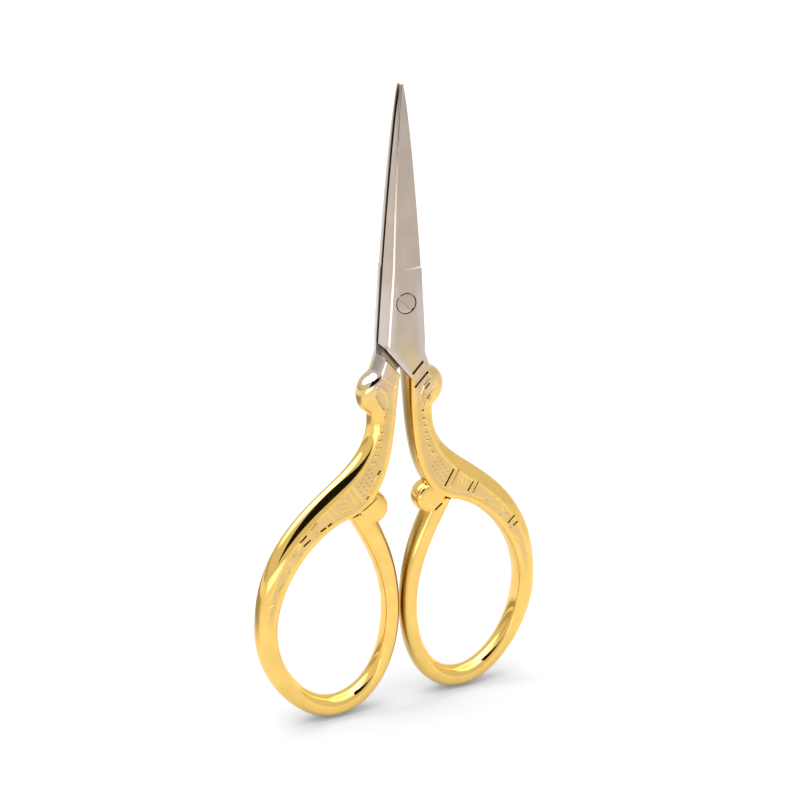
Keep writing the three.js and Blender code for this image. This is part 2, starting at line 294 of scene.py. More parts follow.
def alongHandle(values):
    # value at each column, S-curved between eight stations: the neck's end, knob, waist and haunch, the bow's
    # side and foot, and the leg's side and top
    neck, bow, corner, legCorner, leg = columns.values()
    stations = np.cumsum([0] + [share * neck for share in neckShares] + [bow, corner, legCorner, leg])
    place = np.arange(stations[-1] + 1)
    step = np.clip(np.searchsorted(stations, place, "right") - 1, 0, len(stations) - 2)
    share = smooth(place, stations[step], stations[step + 1])
    values = np.array(values, float)
    return values[step] + (values[step + 1] - values[step]) * share


def inward(edge, other, side):
    # unit normals of an edge line on the metal's side; at the neck's end they turn along the step
    slope = np.gradient(edge, lengths(edge), axis=0)
    normal = np.stack([slope[:, 1], -slope[:, 0]], 1) * side
    normal /= np.linalg.norm(normal, axis=1)[:, None]
    step = (other - edge) / np.linalg.norm(other - edge, axis=1)[:, None]
    share = smooth(np.arange(len(edge)), 0, stepColumns)[:, None]
    mixed = normal * share + step * (1 - share)
    return mixed / np.linalg.norm(mixed, axis=1)[:, None]


def handleSections():
    # half of each section: ellipse's arc from the outer edge, flat panel, quarter ellipse to the inner edge
    h = handle
    outer, inner = handleColumns()
    bowRounds = [h["bowBand"] / 2, h["legBand"] / 2, h["legBand"] / 2]
    outerRounds = [h[part + "Round"] for part in ("neck", "knob", "waist", "haunch", "side")] + bowRounds
    innerRounds = [h["innerRound"]] * 5 + bowRounds
    neckDepth = -2 * (outerFace + h["neckSink"])
    depths = [neckDepth, h["knobDepth"], h["waistDepth"], h["waistDepth"]] + [h["bowDepth"]] * 4
    most = (np.linalg.norm(inner - outer, axis=1) - h["leastPanel"]) / 2
    outerRound = np.minimum(most, alongHandle(outerRounds))[:, None]
    innerRound = np.minimum(most, alongHandle(innerRounds))[:, None]
    turn = np.radians(alongHandle(h["turns"]))[:, None]
    rise = np.linspace(0, 1, around["outer"]) * turn
    fall = np.linspace(math.pi / 2, 0, around["inner"])
    outerIn = outerRound * (1 - np.cos(rise)) / (1 - np.cos(turn))
    innerIn = innerRound * (1 - np.cos(fall))
    outerBand = outer[:, None] + inward(outer, inner, 1)[:, None] * outerIn[..., None]
    innerBand = inner[:, None] + inward(inner, outer, -1)[:, None] * innerIn[..., None]
    across = panelShare[:, None]
    panel = outerBand[:, -1:] * (1 - across) + innerBand[:, :1] * across
    plan = np.concatenate([outerBand, panel, innerBand], 1)
    flat = np.repeat(np.concatenate([np.ones(len(panelShare)), np.sin(fall)])[None], len(outer), 0)
    level = np.concatenate([np.sin(rise) / np.sin(turn), flat], 1)
    return plan, level, level * alongHandle(depths)[:, None] / 2


def facingWallShade(level):
    # painted shade on the walls where the handles face each other: the shank's inner one and the leg's outer
    # one
    wall = handle["wallShade"] * smooth(level, *handle["wallLevels"])
    paintedShade = np.zeros_like(level)
    for sides, shares in (
        (slice(panelSides.stop, None), [0, 1, 1, 1, 0, 0, 0, 0]),
        (slice(None, panelSides.start), [0, 0, 0, 0, 0, 0, 1, 1]),
    ):
        paintedShade[:, sides] = wall[:, sides] * alongHandle(shares)[:, None]
    return paintedShade


# end of the neck: its free corner on the back is rounded off, and some of the blade's nickel runs down it,
# tinted paler as a painted highlight
neckEnd = {
    "corner": (0.14, 0.05, 0.01), "cornerFoot": 0.5,  # taken off the first columns, down to this height
    "rimFoot": 49.5, "rimTop": 53, "rimReach": 2.5,  # fades along the rounding, and below the step
    "backSides": (8, -2), "frontSides": (14, 0),  # fades across, in sides past the rounding
}


def neckRim(plan, face):
    # nickel mask, which also lays a paler painted highlight: along the rounding on the back, and only below
    # the step and on the edge on the front
    n = neckEnd
    side = np.arange(plan.shape[1]) - around["outer"]
    down = smooth(plan[..., 1], n["rimFoot"], n["rimTop"])
    if face > 0:
        return down * smooth(side, *n["backSides"])
    rim = smooth(stepAt(plan[..., 0]) - plan[..., 1], n["rimReach"], 0) * smooth(side, *n["frontSides"])
    rim[:, 0] = down[:, 0]
    return rim


def handlePoints():
    # both faces of the sections with the ornament's relief, and the masks' values
    plan, level, height = handleSections()
    panel = plan[:, panelSides]
    width = np.linalg.norm(panel[:, -1] - panel[:, 0], axis=1)[:, None]
    carved, satin, cut = np.zeros((3,) + height.shape)
    carved[:, panelSides], satin[:, panelSides], cut[:, panelSides] = relief(panel, panelShare * width)
    cornerCut = np.array(neckEnd["corner"])[:, None]
    first = len(cornerCut)
    faces, marks = [], []
    for face in (-1, 1):
        lift = carved.copy()
        paintedShade = facingWallShade(level)
        paintedShade[:2 if face > 0 else 1] = 1  # painted shade on the step
        if face > 0:
            lift[:first] -= np.minimum(cornerCut, np.maximum(height[:first] - neckEnd["cornerFoot"], 0))
        faces.append(np.stack([plan[..., 0], face * (height + lift), plan[..., 1]], -1))
        marks.append(np.stack([satin, cut, paintedShade, neckRim(plan, face)], -1))
    return [np.concatenate([front, back[:, ::-1][:, 1:-1]], 1) for front, back in (faces, marks)]


# ornament struck into both faces of the handle: cuts, raised lines, beads and pits on a satin field
ornament = {
    "cutWidth": 0.32, "cutDepth": 0.14, "shallow": 0.06, "cutPoint": 0.12, "pointSize": 0.05,
    "slashWidth": 0.44, "slashFoot": 50,  # broader cuts above this height
    "leaning": 0.35,  # product of the two parts of a cut's direction, from which it counts as slanting
    "lineWidth": 0.6, "lineHeight": 0.15, "beadSize": 0.74, "beadHeight": 0.2, "beadStep": 1.13,
    "pitSize": 0.4, "pitDepth": 0.1, "pitsInRow": 5, "polished": 0.55,  # of the raised lines and beads
    "fieldDepth": 0.05, "margin": (0.1, 0.3), "innerMargin": (0.3, 0.8),
    "fieldFoot": (16.5, 19.5), "fieldTop": (54.5, 51.5),
    "strokes": (
        ((3.1, 49.9), (3.74, 50.7)), ((3.82, 47.9), (4.98, 49.3)),
        ((7.9, 36.8), (6.46, 34.3)), ((8.75, 36.6), (7.4, 34.1)), ((11.15, 34.3), (10.2, 32.9)),
        ((11.85, 34), (11, 32.4)), ((13.4, 32.4), (14.3, 31.35), (15.5, 31.25)),
        ((14.9, 30.8), (15.9, 29.8), (16.2, 28.3)), ((12.8, 31), (12, 31.45)), ((11.7, 31.6), (11.1, 31.95)),
        ((15.4, 29.2), (14.3, 30)), ((16.2, 30.2), (15.5, 30.3)), ((17.07, 26.42), (18.22, 27.58)),
        ((18.02, 25.82), (18.68, 26.43)), ((19.4, 22.8), (18.4, 24.1)), ((20.8, 20.75), (20.1, 21.1)),
        ((21.2, 18.7), (20, 19)),
    ),
    "frontStrokes": (
        ((1.0, 52.5), (2.6, 54.15)), ((1.45, 50.4), (3.4, 52.5)), ((8.9, 35.6), (8.6, 34.2)),
        ((9.5, 35.6), (9.2, 33.9)), ((10.1, 35.4), (9.8, 33.6)), ((4.98, 30.88), (6.09, 31.77)),
    ),
    "backStrokes": (
        ((3.8, 52.6), (1.6, 50.85)), ((3.66, 38.6), (4.1, 38)), ((4.4, 37.6), (4.6, 36.6)),
        ((4.9, 36), (5.3, 35.3)), ((5.5, 35), (5.85, 34.5)), ((10.15, 35.4), (9.2, 35.6)),
        ((9.93, 34.6), (8.9, 34.7)), ((9.65, 33.9), (8.6, 34)), ((9.5, 33.1), (7.9, 33.5)),
        ((7.26, 32.47), (6.49, 32.78), (5.56, 33.38), (4.63, 34.05), (4.01, 34.63)),
    ),
    "curl": ((4.7, 50.9), (4.3, 51.2), (3.7, 51.2), (2.95, 50.4), (2.6, 49.3), (2.6, 48.2)),
    "drop": ((4.6, 50), (4.1, 49), (3.55, 48.2)),
    "beadPath": ((2.93, 47.5), (2.98, 46.4), (3.3, 44.3), (3.82, 42), (4.23, 40.5), (4.95, 39.4)),
    "pitRows": (((5.4, 39.1), (7, 36.7)), ((4.95, 38.5), (6.6, 36)), ((4.55, 37.9), (6.1, 35.4))),
    "spots": ((13.4, 30.9), (14.95, 31.15), (15.7, 28.1), (16.8, 28.15), (17.55, 28.4), (17.55, 25.65)),
}


def toLine(place, line):
    # distance of each place from a polyline: the least of its distances from the segments
    line = np.array(line, float)
    nearest = np.full(place.shape[:2], np.inf)
    for start, end in zip(line, line[1:]):
        way = end - start
        share = np.clip((place - start) @ way / (way @ way), 0, 1)[..., None]
        nearest = np.minimum(nearest, np.linalg.norm(place - start - share * way, axis=-1))
    return nearest


def relief(place, toOuter):
    # height, satin and cut masks of the panel: conical pits, rounded lines and domed beads in a lower field
    o = ornament
    level = place[..., 1]
    toInner = toOuter[:, -1:] + toOuter[:, :1] - toOuter
    satin = smooth(toOuter, *o["margin"]) * smooth(toInner, *o["innerMargin"])
    satin *= smooth(level, *o["fieldFoot"])
    satin *= smooth(level, *o["fieldTop"])
    satin[columns["neck"] + columns["bow"]:] = 0
    lift = -o["fieldDepth"] * satin
    pits = list(o["spots"])
    for start, end in o["pitRows"]:
        pits += np.linspace(start, end, o["pitsInRow"]).tolist()
    cut = np.zeros_like(lift)
    for pit in pits:
        depth = np.clip(1 - np.linalg.norm(place - pit, axis=-1) / (o["pitSize"] / 2), 0, 1)
        cut = np.maximum(cut, depth)
    raised = np.zeros_like(lift)
    for line in (o["curl"], o["drop"]):
        raised = np.maximum(raised, o["lineHeight"] * smooth(toLine(place, line), o["lineWidth"] / 2, 0))
    path = np.array(o["beadPath"])
    for bead in resample(path, np.arange(0, lengths(path)[-1], o["beadStep"])):
        out = np.clip(np.linalg.norm(place - bead, axis=-1) / (o["beadSize"] / 2), 0, 1)
        raised = np.maximum(raised, o["beadHeight"] * np.sqrt(1 - out ** 2))
    satin = satin * (1 - o["polished"] * np.clip(raised / o["lineHeight"], 0, 1))
    return lift + raised - o["pitDepth"] * cut, satin, cut


def wedgePoints(start, end, panel, face):
    # triangular section along a line on the face, pointed at both ends, its edge a cut's depth below the face
    o = ornament
    length = np.linalg.norm(end - start)
    way = (end - start) / length
    over = np.array([-way[1], way[0]]) * o["cutWidth"]
    full = o["slashWidth"] / o["cutWidth"] if min(start[1], end[1]) > o["slashFoot"] else 1
    lean = way[0] * way[1]
    steep = abs(lean) > o["leaning"] and lean * face < 0
    depth = o["cutDepth"] if steep else o["shallow"]  # strokes that slant one way are struck deeper
    point, small = o["cutPoint"], o["pointSize"]
    rings = []
    for run, size in ((-point, small), (0, full), (length, full), (length + point, small)):
        place = start + way * run
        level = abs(panel[np.argmin(np.linalg.norm(panel[:, [0, 2]] - place, axis=1)), 1])
        top, edge = level + depth * size, level - depth * size
        rings.append([(*(place - over * size), top), (*place, edge), (*(place + over * size), top)])
    return np.array(rings)[..., [0, 2, 1]] * np.array([1, face, 1])


def strokeCutter(points, face):
    # wedges along every stroke of one face, joined in one piece
    strokes = ornament["strokes"] + ornament["backStrokes" if face > 0 else "frontStrokes"]
    panel = points[:, panelSides].reshape(-1, 3)
    cutter = None
    for stroke in strokes:
        for start, end in zip(stroke, stroke[1:]):
            wedge = tube("wedge", wedgePoints(np.array(start), np.array(end), panel, face))
            cutter = fuse(cutter, wedge, "UNION") if cutter else wedge
    return cutter


def lobePoints():
    # flattened ball: a half profile, fuller than a circle, turned about an axis along Y
    radius, half = handle["lobeSize"] / 2, handle["bowDepth"] / 2
    turn = np.linspace(0, 2 * math.pi, handle["lobeSides"] + 1)[:-1]
    bulge = np.linspace(-math.pi / 2, math.pi / 2, handle["lobeRings"])[:, None]
    out = radius * np.maximum(np.cos(bulge), 0.001) ** handle["lobeFullness"]
    grid = [lobePlace[0] + out * np.cos(turn), half * np.sin(bulge), lobePlace[1] + out * np.sin(turn)]
    return np.stack(np.broadcast_arrays(*grid), -1)


# blade: flat inner face, ricasso of full depth round the screw, ground face above it
blade = {
    "gap": 0.3,  # between the two inner faces
    "grindRise": 4.75, "coveLength": 0.25, "coveSlope": 1.25,  # where the grind starts, and its run-out
    "shoulder": (-0.1, 0.5), "shoulderGaps": (0.1, 0.2),  # close rows about that start, and steps beside them
    "grindLand": 1.77, "midRise": 9, "midLand": 1.1, "tipLand": 0.2,  # depth at the cutting side
    "fallPower": 2.2,  # the ground face falls faster towards the edge
    "tipDepth": 0.4, "draft": 0.6, "tipDraft": 0.08,
    "grindSpine": 2.6, "tipSpine": 0.0, "grindEdge": 2.85, "tipEdge": 0.25, "taper": 0.75, "notch": 0.1,
    "pointLength": 5, "crest": 0.75, "pointCrest": 0.4, "tipCrest": 0.12,  # rounding of the spine's crest
    "fine": 0.05,  # and of the other edges
    "heelRise": 0.6, "heelRound": 0.7, "heelDip": 0.13,  # rounding of the face along the slanting heel
    "sink": 0.45, "sinkRise": 0.6, "sinkRun": 8,  # the face dips under the neck's panel
    "innerShade": 0.8, "lowInnerShade": 0.45, "lowInnerShadeDrop": 2,  # painted shade on the inner face along its sides, and below the pivot
    "rimHighlightWidth": (1.5, 0.5),  # paler painted highlight round the ricasso's edges
}
grindHeight = pivotHeight + blade["grindRise"]
pointFoot = tipHeight - blade["pointLength"]
heelTop = heelHeight + blade["heelRise"]
bladeInner = -blade["gap"] / 2
bladeFull = bladeInner - outerFace
bladeRows = {"ricasso": 30, "shoulder": 64, "ground": 56, "point": 26}
bladeSides = {"foot": 4, "edge": 4, "corner": 5, "face": 26, "crest": 9}  # points round a section
innerShare = np.array([0.08, 0.18, 0.82, 0.92])[:, None]  # across the inner face, beside its strips of painted shade
heelShare = np.concatenate([np.linspace(0, 0.3, 24), np.linspace(0.3, 1, 16)[1:-1]])  # rows up the heel


def bladeLevels():
    # heights of the rows: close at the heel and at the shoulder of the grind, wider elsewhere
    low, high = (grindHeight + rise for rise in blade["shoulder"])
    under, over = blade["shoulderGaps"]
    return np.concatenate([
        heelHeight + heelShare * (heelTop - heelHeight),
        np.linspace(heelTop, low - under, bladeRows["ricasso"]),
        np.linspace(low, high, bladeRows["shoulder"]),
        np.linspace(high + over, pointFoot, bladeRows["ground"]),
        np.linspace(pointFoot, tipHeight, bladeRows["point"])[1:],
    ])


def sinkAt(x, z):
    # how far the face dips at a place: an S curve of its depth below the step of its own neck
    return blade["sink"] * smooth(stepAt(x) + blade["sinkRise"] - z, 0, blade["sinkRun"])


def bladeDepth(x, z, edge, crestX, crestDepth):
    # depth of the face: flat ricasso, or the ground face that falls by a power of the way to the edge
    b = blade
    lands = [b["grindLand"], b["midLand"], b["tipLand"]]
    land = np.interp(z, [grindHeight, grindHeight + b["midRise"], tipHeight], lands)
    fallen = np.clip((x - crestX) / (edge - crestX), 0, 1) ** b["fallPower"]
    cove = bladeFull - b["coveSlope"] * (z - grindHeight)
    ground = np.maximum(crestDepth - (crestDepth - land) * fallen, cove)
    return np.minimum(bladeFull, ground) - sinkAt(x, z)


def roundCorner(before, place, after, reach, count):
    # quadratic curve that rounds a corner of the section, reaching a given way along both sides
    back = before - place
    on = after - place
    back *= reach / np.linalg.norm(back, axis=-1, keepdims=True)
    on *= reach / np.linalg.norm(on, axis=-1, keepdims=True)
    t = np.linspace(0, 1, count)[:, None]
    place, back, on = place[:, None], back[:, None], on[:, None]
    return place + back * (1 - t) ** 2 + on * t * t


def bladeSections(level):
    # level sections of inner face, cutting side, face, crest and spine wall; they narrow by a power of height
    b = blade
    ground = np.clip((tipHeight - level) / (tipHeight - grindHeight), 0, 1) ** b["taper"]
    low = np.clip((grindHeight - level) / (grindHeight - heelHeight), 0, 1)
    spine, edge = (
        b["tip" + side] + (b["grind" + side] - b["tip" + side]) * ground
        + (heel[side.lower()] - b["grind" + side]) * low for side in ("Spine", "Edge"))
    edge -= b["notch"] * smooth(level, grindHeight, grindHeight + b["coveLength"]) * ground
    crestDepth = np.interp(level, [grindHeight, tipHeight], [bladeFull, b["tipDepth"]])
    draft = np.interp(level, [grindHeight, tipHeight], [b["draft"], b["tipDraft"]])
    crests = [b["crest"], b["pointCrest"], b["tipCrest"]]
    crestReach = np.interp(level, [grindHeight, pointFoot, tipHeight], crests)[:, None]
    fine = np.full_like(crestReach, b["fine"])
    crestX = draft - spine

    def onFace(x):  # places in every row on the face
        return np.stack([x, bladeInner - bladeDepth(x, level, edge, crestX, crestDepth)], -1)

    def onInner(x):  # and on the inner face
        return np.stack([x, np.full_like(x, bladeInner)], -1)

    faceX = edge - draft * bladeDepth(edge, level, edge, crestX, crestDepth) / bladeFull
    spineFoot, cuttingFoot = onInner(-spine), onInner(edge)
    faceCorner, crest = onFace(faceX), onFace(crestX)
    beside = 0.1 * (faceX - crestX)  # near enough to give the face's direction at both ends
    besideCorner, besideCrest = onFace(faceX - beside), onFace(crestX + beside)
    cornerTurn = roundCorner(cuttingFoot, faceCorner, besideCorner, fine, bladeSides["corner"])
    crestTurn = roundCorner(besideCrest, crest, spineFoot, crestReach, bladeSides["crest"])
    footTurn = roundCorner(crest, spineFoot, cuttingFoot, fine, bladeSides["foot"])
    edgeTurn = roundCorner(spineFoot, cuttingFoot, faceCorner, fine, bladeSides["edge"])
    share = np.linspace(0, 1, bladeSides["face"] + 2)[1:-1]
    faceLines = cornerTurn[:, -1:, 0] * (1 - share) + crestTurn[:, :1, 0] * share
    face = np.stack([onFace(line) for line in faceLines.T], 1)
    inner = footTurn[:, -1:] * (1 - innerShare) + edgeTurn[:, :1] * innerShare
    return np.concatenate([footTurn, inner, edgeTurn, cornerTurn, face, crestTurn], 1), crestX, faceX


def slantHeel(section, level):
    # heights of the points: the first rows are let down to the slanting heel, and their face is lowered
    # to suit, with a quarter ellipse along the heel
    low = section[:len(heelShare)]
    x = low[..., 0]
    slant = heelAt(x)
    heights = np.repeat(level[:, None], section.shape[1], 1)
    heights[:len(low)] = slant + heelShare[:, None] * (heelTop - slant)
    dip = sinkAt(x, heights[:len(low)]) - sinkAt(x, level[:len(low), None])
    fromHeel = (heights[:len(low)] - slant) * math.cos(heelSlope) / blade["heelRound"]
    rounding = blade["heelDip"] * (1 - np.sqrt(1 - np.clip(1 - fromHeel, 0, 1) ** 2))
    outerSide = low[..., 1] < bladeInner - 0.5 * bladeFull
    low[..., 1] += np.where(outerSide, dip + rounding, 0)
    return heights


def bladePoints():
    # sections from the slanting heel to the tip, and the masks' values
    b = blade
    level = bladeLevels()
    section, crestX, faceX = bladeSections(level)
    heights = slantHeel(section, level)
    x, y = section[..., 0], section[..., 1]
    toSide = np.minimum(x - crestX[:, None], faceX[:, None] - x)
    toHeel = (heights - heelAt(x)) * math.cos(heelSlope)
    # rim: nickel with a paler painted highlight along the ricasso's sides and heel
    rim = smooth(np.minimum(toSide, toHeel), *b["rimHighlightWidth"]) * smooth(heights, grindHeight, pivotHeight)
    plain, paintedShade = np.zeros((2,) + rim.shape)
    strips = np.array([1, 1, 0, 0, 1, 1])  # inner face from corner to corner, with painted shade along both sides
    first = bladeSides["foot"] - 1
    paintedShade[:, first:first + len(strips)] = b["innerShade"] * strips
    return np.stack([x, y, heights], -1), np.stack([plain, plain, paintedShade, rim], -1)


def shadeHeelAndInner(mesh):
    # painted shade on the heel and on the inner face below the pivot, in the narrow gap between the halves
    touch = 0.02  # millimetres from a face that count as on it
    places = np.empty(len(mesh.vertices) * 3, np.float32)
    mesh.vertices.foreach_get("co", places)
    x, y, z = places.reshape(-1, 3).T / mm
    paintedShade = np.empty(len(mesh.vertices), np.float32)
    mesh.attributes["paintedShade"].data.foreach_get("value", paintedShade)
    onInner = np.abs(y - bladeInner) < touch
    below = smooth(z, pivotHeight - blade["lowInnerShadeDrop"], heelHeight)
    innerShade = np.where(onInner, blade["lowInnerShade"] * below, 0)
    onHeel = (np.abs(z - heelAt(x)) < touch) & (y < bladeInner + touch)
    paintedShade = np.maximum(paintedShade, np.maximum(innerShade, onHeel)).astype(np.float32)
    mesh.attributes["paintedShade"].data.foreach_set("value", paintedShade)


def makeForging():
    # bow and leg, lobe and blade in one closed skin, then the ornament's cuts in both faces
    points, marks = handlePoints()
    foot = columns["neck"] + columns["bow"] + columns["corner"]
    forging = tube("forging", points[:foot + 1], marks[:foot + 1])
    fuse(forging, tube("leg", points[foot:], marks[foot:]), "UNION")
    fuse(forging, tube("lobe", lobePoints()), "UNION")
    fuse(forging, tube("blade", *bladePoints()), "UNION")
    for face in (-1, 1):
        fuse(forging, strokeCutter(points, face), "DIFFERENCE")
    shadeHeelAndInner(forging.data)
    return forging


# screw: flush with both outer faces, in a recess of the front half and bores of both
screw = {
    "headHeight": 0.85, "shaftRadius": 1, "clearance": 0.2, "recessGap": 0.1, "recessFlare": 0.2,
    "rim": 0.12, "rimShare": (0.4, 0.25),  # rounding of the head's edge, and a point on it
    "slotWidth": 0.36, "slotDepth": 0.24, "slotFall": 45,
    "slotFlare": 0.05, "flareWidth": 0.15, "flareRise": 0.1,  # bevel of the slot's edges
    "headSides": 96, "boreSides": 64,
}


def barPoints(profile, sides):
    # rings of given radius and depth round the pivot's axis
    turn = np.linspace(0, 2 * math.pi, sides + 1)[:-1]
    radius, depth = np.array(profile, float).T[..., None]
    grid = [radius * np.cos(turn), depth, pivotHeight + radius * np.sin(turn)]
    return np.stack(np.broadcast_arrays(*grid), -1)


def makeScrew():
    # head, shaft and end turned about the pivot, with a slot cut across the head
    s = screw
    rim, shaft = s["rim"], s["shaftRadius"]
    seat = outerFace + s["headHeight"]
    profile = [
        (headRadius - rim, outerFace),
        (headRadius - s["rimShare"][0] * rim, outerFace + s["rimShare"][1] * rim),
        (headRadius, outerFace + rim), (headRadius, seat), (shaft, seat),
        (shaft, -outerFace - rim), (shaft - rim, -outerFace),
    ]
    piece = tube("pivotScrew", barPoints(profile, s["headSides"]))
    way = heading(-s["slotFall"])
    over = np.array([-way[1], way[0]])
    half = s["slotWidth"] / 2
    corners = [(half, s["slotDepth"]), (half, s["slotFlare"]), (half + s["flareWidth"], -s["flareRise"])]
    outline = [(-side, deep) for side, deep in corners[::-1]] + corners
    rings = []
    for end in (-2 * headRadius, 2 * headRadius):
        rings.append([(way[0] * end + over[0] * side, outerFace + deep,
                       pivotHeight + way[1] * end + over[1] * side) for side, deep in outline])
    return fuse(piece, tube("slot", np.array(rings)), "DIFFERENCE")


def makeHalves():
    # the rear half is the same forging turned half a turn about Z; the front one has the recess for the head
    s = screw
    front = makeForging()
    rear = bpy.data.objects.new("rear", front.data.copy())
    scene.collection.objects.link(rear)
    rear.data.transform(Matrix.Rotation(math.pi, 4, "Z"))
    wide, deep = headRadius + s["recessGap"], 2 * abs(outerFace)
    seat = outerFace + s["headHeight"] + s["clearance"]
    recess = [(wide + s["recessFlare"], outerFace - s["recessFlare"]), (wide, outerFace), (wide, seat)]
    bore = [(s["shaftRadius"] + s["clearance"], -deep), (s["shaftRadius"] + s["clearance"], deep)]
    fuse(front, tube("recess", barPoints(recess, s["headSides"])), "DIFFERENCE")
    for half in (front, rear):
        fuse(half, tube("bore", barPoints(bore, s["boreSides"])), "DIFFERENCE")
    return front, rear


sharpAngle = math.radians(32)  # edges that turn further are not shaded smooth


def dress(piece, name, node, body, material):
    # name, material and shading of a piece, and its place in the frame
    piece.name = name
    piece.data.name = name
    piece.data.materials.clear()
    piece.data.materials.append(material)
    piece.data.shade_smooth()
    piece.data.set_sharp_from_angle(angle=sharpAngle)
    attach(piece, body)
    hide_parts(node)
    print(name, len(piece.data.vertices), "vertices")


def calculate(tree, operation, *values):
    # Math node fed by sockets or plain numbers
    node = tree.nodes.new("ShaderNodeMath")
    node.operation = operation
    for socket, value in zip(node.inputs, values):
        if isinstance(value, (int, float)):
            socket.default_value = value
        else:
            tree.links.new(value, socket)
    return node.outputs[0]


def total(tree, *values):
    # sum of sockets and numbers
    result = values[0]
    for value in values[1:]:
        result = calculate(tree, "ADD", result, value)
    return result


def times(tree, *values):
    # product of sockets and numbers
    result = values[0]
    for value in values[1:]:
        result = calculate(tree, "MULTIPLY", result, value)
    return result


def between(tree, value, start, end, low=0.0, high=1.0):
    # S curve from low at start to high at end
    node = tree.nodes.new("ShaderNodeMapRange")
    node.interpolation_type = "SMOOTHSTEP"
    if start > end:
        start, end, low, high = end, start, high, low
    for name, number in (("From Min", start), ("From Max", end), ("To Min", low), ("To Max", high)):
        node.inputs[name].default_value = number
    tree.links.new(value, node.inputs["Value"])
    return node.outputs[0]


def vectorMath(tree, operation, vector, fixed=None):
    # Vector Math node of a socket and, if given, a fixed vector
    node = tree.nodes.new("ShaderNodeVectorMath")
    node.operation = operation
    tree.links.new(vector, node.inputs[0])
    if fixed:
        node.inputs[1].default_value = fixed
    return node.outputs["Value" if operation in ("DOT_PRODUCT", "LENGTH") else "Vector"]


def noise(tree, place, scale, detail=2.0):
    # noise between 0 and 1, with features of about one metre divided by the scale
    node = tree.nodes.new("ShaderNodeTexNoise")
    node.inputs["Scale"].default_value = scale
    node.inputs["Detail"].default_value = detail
    tree.links.new(place, node.inputs["Vector"])
    return node.outputs[0]


def blend(tree, share, first, second):
    # colour between a socket and a second socket or fixed colour; 6, 7 and 2 are the node's colour sockets
    node = tree.nodes.new("ShaderNodeMix")
    node.data_type = "RGBA"
    tree.links.new(share, node.inputs[0])
    tree.links.new(first, node.inputs[6])
    if isinstance(second, tuple):
        node.inputs[7].default_value = (*second, 1)
    else:
        tree.links.new(second, node.inputs[7])
    return node.outputs[2]


def partsOf(tree, vector):
    # X, Y and Z of a vector socket
    split = tree.nodes.new("ShaderNodeSeparateXYZ")
    tree.links.new(vector, split.inputs[0])
    return split.outputs


def newGroup(name, outputs):
    # node group that takes the masks
    tree = bpy.data.node_groups.new(name, "ShaderNodeTree")
    for mask in masks:
        tree.interface.new_socket(name=mask, in_out="INPUT", socket_type="NodeSocketFloat")
    for label, kind in outputs.items():
        tree.interface.new_socket(name=label, in_out="OUTPUT", socket_type=kind)
    given = tree.nodes.new("NodeGroupInput").outputs
    made = tree.nodes.new("NodeGroupOutput").inputs
    place = tree.nodes.new("ShaderNodeTexCoord").outputs["Object"]
    return tree, given, made, place


# plating: gold handles that fade into nickel blades, duller in the struck field, dark in the cuts and under
# painted shade
plating = {
    "gold": (0.94, 0.62, 0.175), "paleGold": (0.87, 0.6, 0.245), "champagne": (0.675, 0.545, 0.345),
    "nickel": (0.57, 0.475, 0.405), "paleGoldAt": 0.3, "champagneAt": 0.66,
    "goldTop": 45, "nickelFoot": 62, "drift": 5, "driftScale": 170,
    # at the rim the ramp shifts towards nickel, and it is tinted paler there as a painted highlight
    "rimRise": 5, "rimShare": 0.5, "rimHighlightColour": (0.76, 0.67, 0.64),
    "cloud": (0.93, 1.03), "cloudFrom": (0.25, 0.75), "cloudScale": 420, "satinTint": (0.82, 0.86, 1.2),
    # dark colour of the pits and of the painted shade, and how far each goes towards it
    "cutAndShadeColour": (0.03, 0.02, 0.008), "cutShare": 0.3, "shadeShare": 0.92,
    "polish": 0.05, "smudge": 0.05, "smudgeFrom": (0.45, 0.75), "smudgeScale": 190,  # roughness
    "satin": 0.2, "brushed": 0.03, "shadedRough": 0.3,  # added to it in the field, on the blades and under the painted shade
    "bladeFoot": (54, 62),  # heights between which the brushing sets in
    "relief": 0.03,  # depth in millimetres of the finest bumps
    "waves": 0.8, "waveScale": 240, "grain": 0.12, "grainScale": 5200,
    "streaks": 0.03, "streakScale": (5000, 5000, 60),
}


def platingTone():
    # base colour: ramp up the height with a slow drift, clouded, tinted in the field, paler at the rim as a
    # painted highlight, and dark in the cuts and under the painted shade
    t = plating
    tree, given, made, place = newGroup("platingTone", {"Colour": "NodeSocketColor"})
    wander = calculate(tree, "SUBTRACT", noise(tree, place, t["driftScale"]), 0.5)
    drift = times(tree, wander, t["drift"] * mm)
    level = total(tree, partsOf(tree, place)["Z"], drift, times(tree, given["rim"], t["rimRise"] * mm))
    toNickel = between(tree, level, t["goldTop"] * mm, t["nickelFoot"] * mm)
    ramp = tree.nodes.new("ShaderNodeValToRGB")
    tree.links.new(toNickel, ramp.inputs[0])
    stops = ramp.color_ramp.elements
    stops[0].color = (*t["gold"], 1)
    stops[1].color = (*t["nickel"], 1)
    for key in ("paleGold", "champagne"):
        stops.new(t[key + "At"]).color = (*t[key], 1)
    cloud = tree.nodes.new("ShaderNodeVectorMath")
    cloud.operation = "SCALE"
    tree.links.new(ramp.outputs[0], cloud.inputs[0])
    clouding = between(tree, noise(tree, place, t["cloudScale"], 4), *t["cloudFrom"], *t["cloud"])
    tree.links.new(clouding, cloud.inputs["Scale"])
    field = vectorMath(tree, "MULTIPLY", cloud.outputs[0], t["satinTint"])
    colour = blend(tree, given["satin"], cloud.outputs[0], field)
    # paler tint on the rim: a painted highlight
    colour = blend(tree, times(tree, given["rim"], toNickel, t["rimShare"]), colour, t["rimHighlightColour"])
    # painted shade in the gaps between the parts, drawn almost to the dark colour
    paintedShade = times(tree, given["paintedShade"], t["shadeShare"])
    dark = calculate(tree, "MAXIMUM", times(tree, given["cut"], t["cutShare"]), paintedShade)
    tree.links.new(blend(tree, dark, colour, t["cutAndShadeColour"]), made["Colour"])
    return tree


